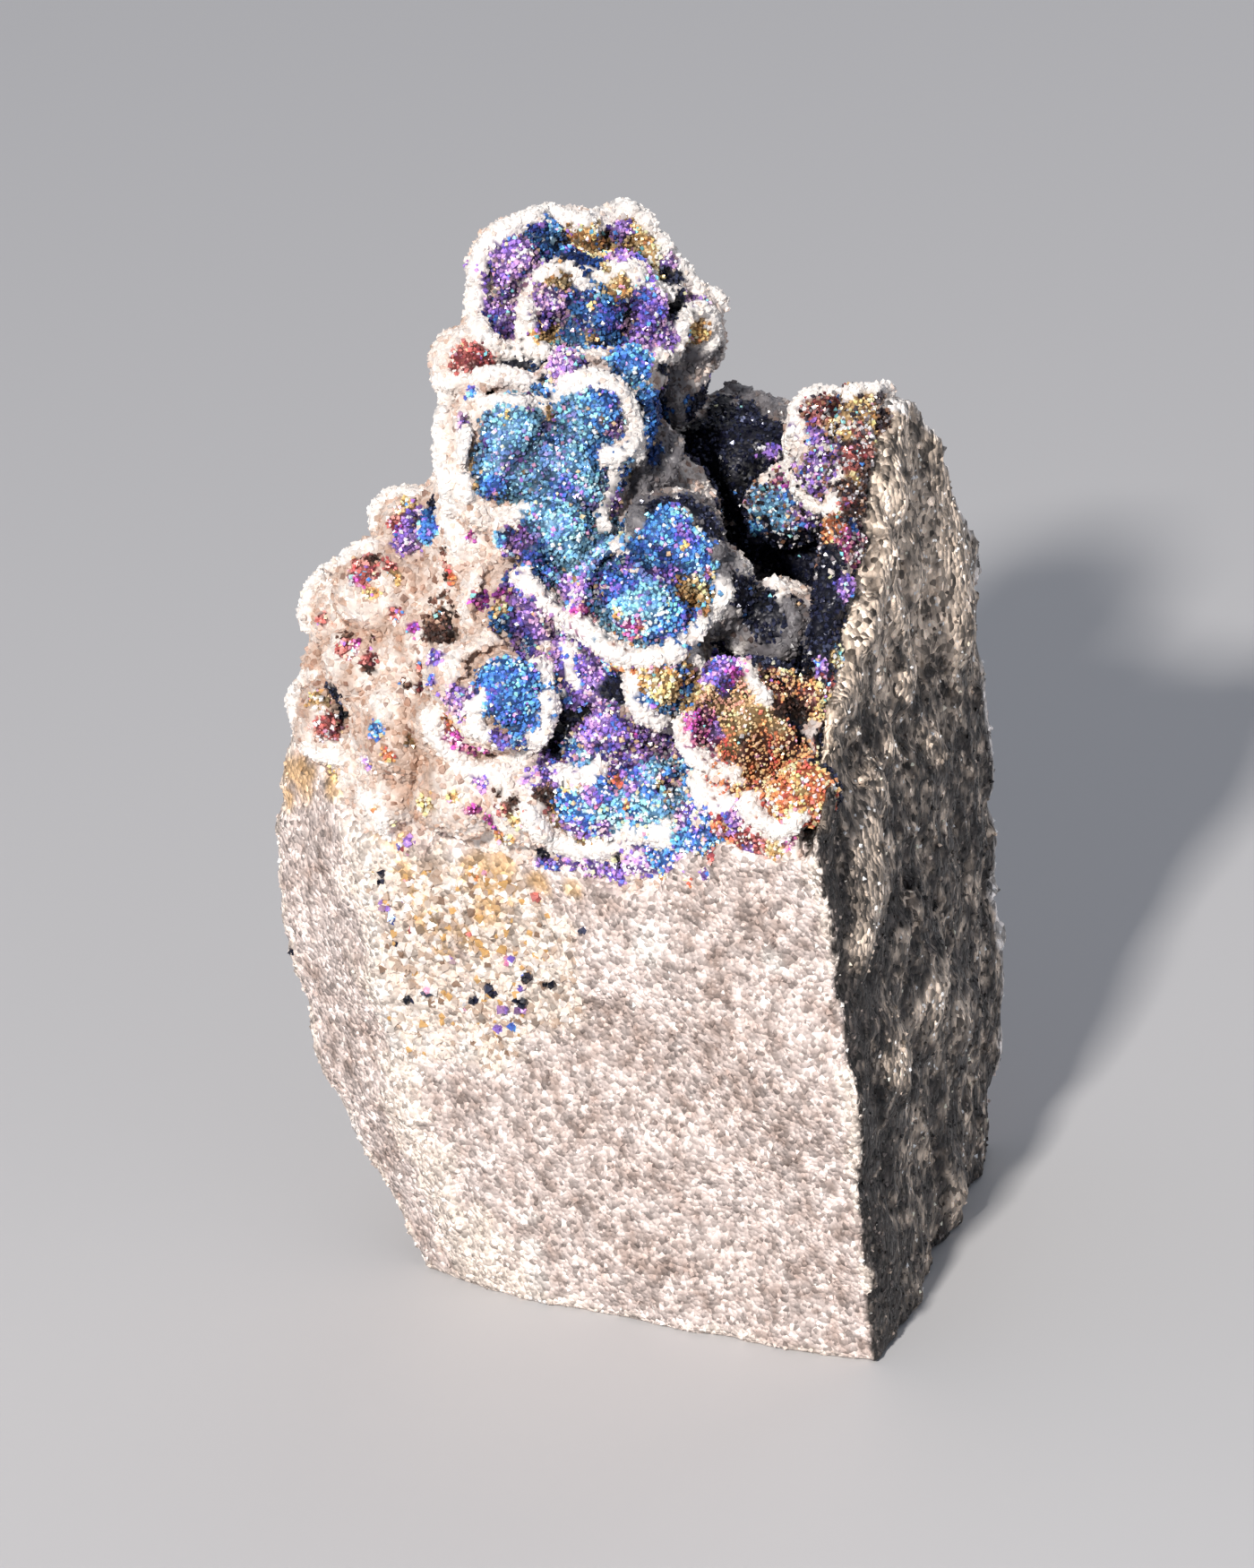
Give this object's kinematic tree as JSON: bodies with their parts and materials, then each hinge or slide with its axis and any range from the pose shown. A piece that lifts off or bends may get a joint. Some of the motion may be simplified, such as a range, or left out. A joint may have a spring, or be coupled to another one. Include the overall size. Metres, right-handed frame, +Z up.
{
  "type": "peacock ore specimen",
  "caption": "Hand specimen of peacock ore: a block of pale granular host rock with a grape-like, iridescent crystal growth rimmed in white druse on its torn top.",
  "frame": {"origin": "bottom centre of the specimen's box, on the surface that it stands on", "axes": "+Z up, along the block and the tower of lumps; +Y away from the broad pale front side; +X to the right"},
  "size_m": [0.044, 0.04, 0.0635],
  "materials": {
    "host_rock": "pale pinkish grey granular rock, rough broken faces",
    "ore_growth": "sparkling blue, teal, violet and gold iridescent crystals with white sugary quartz rims"
  },
  "bodies": {
    "root": {"host_rock": "host_rock", "ore_growth": "ore_growth"}
  },
  "joints": []
}
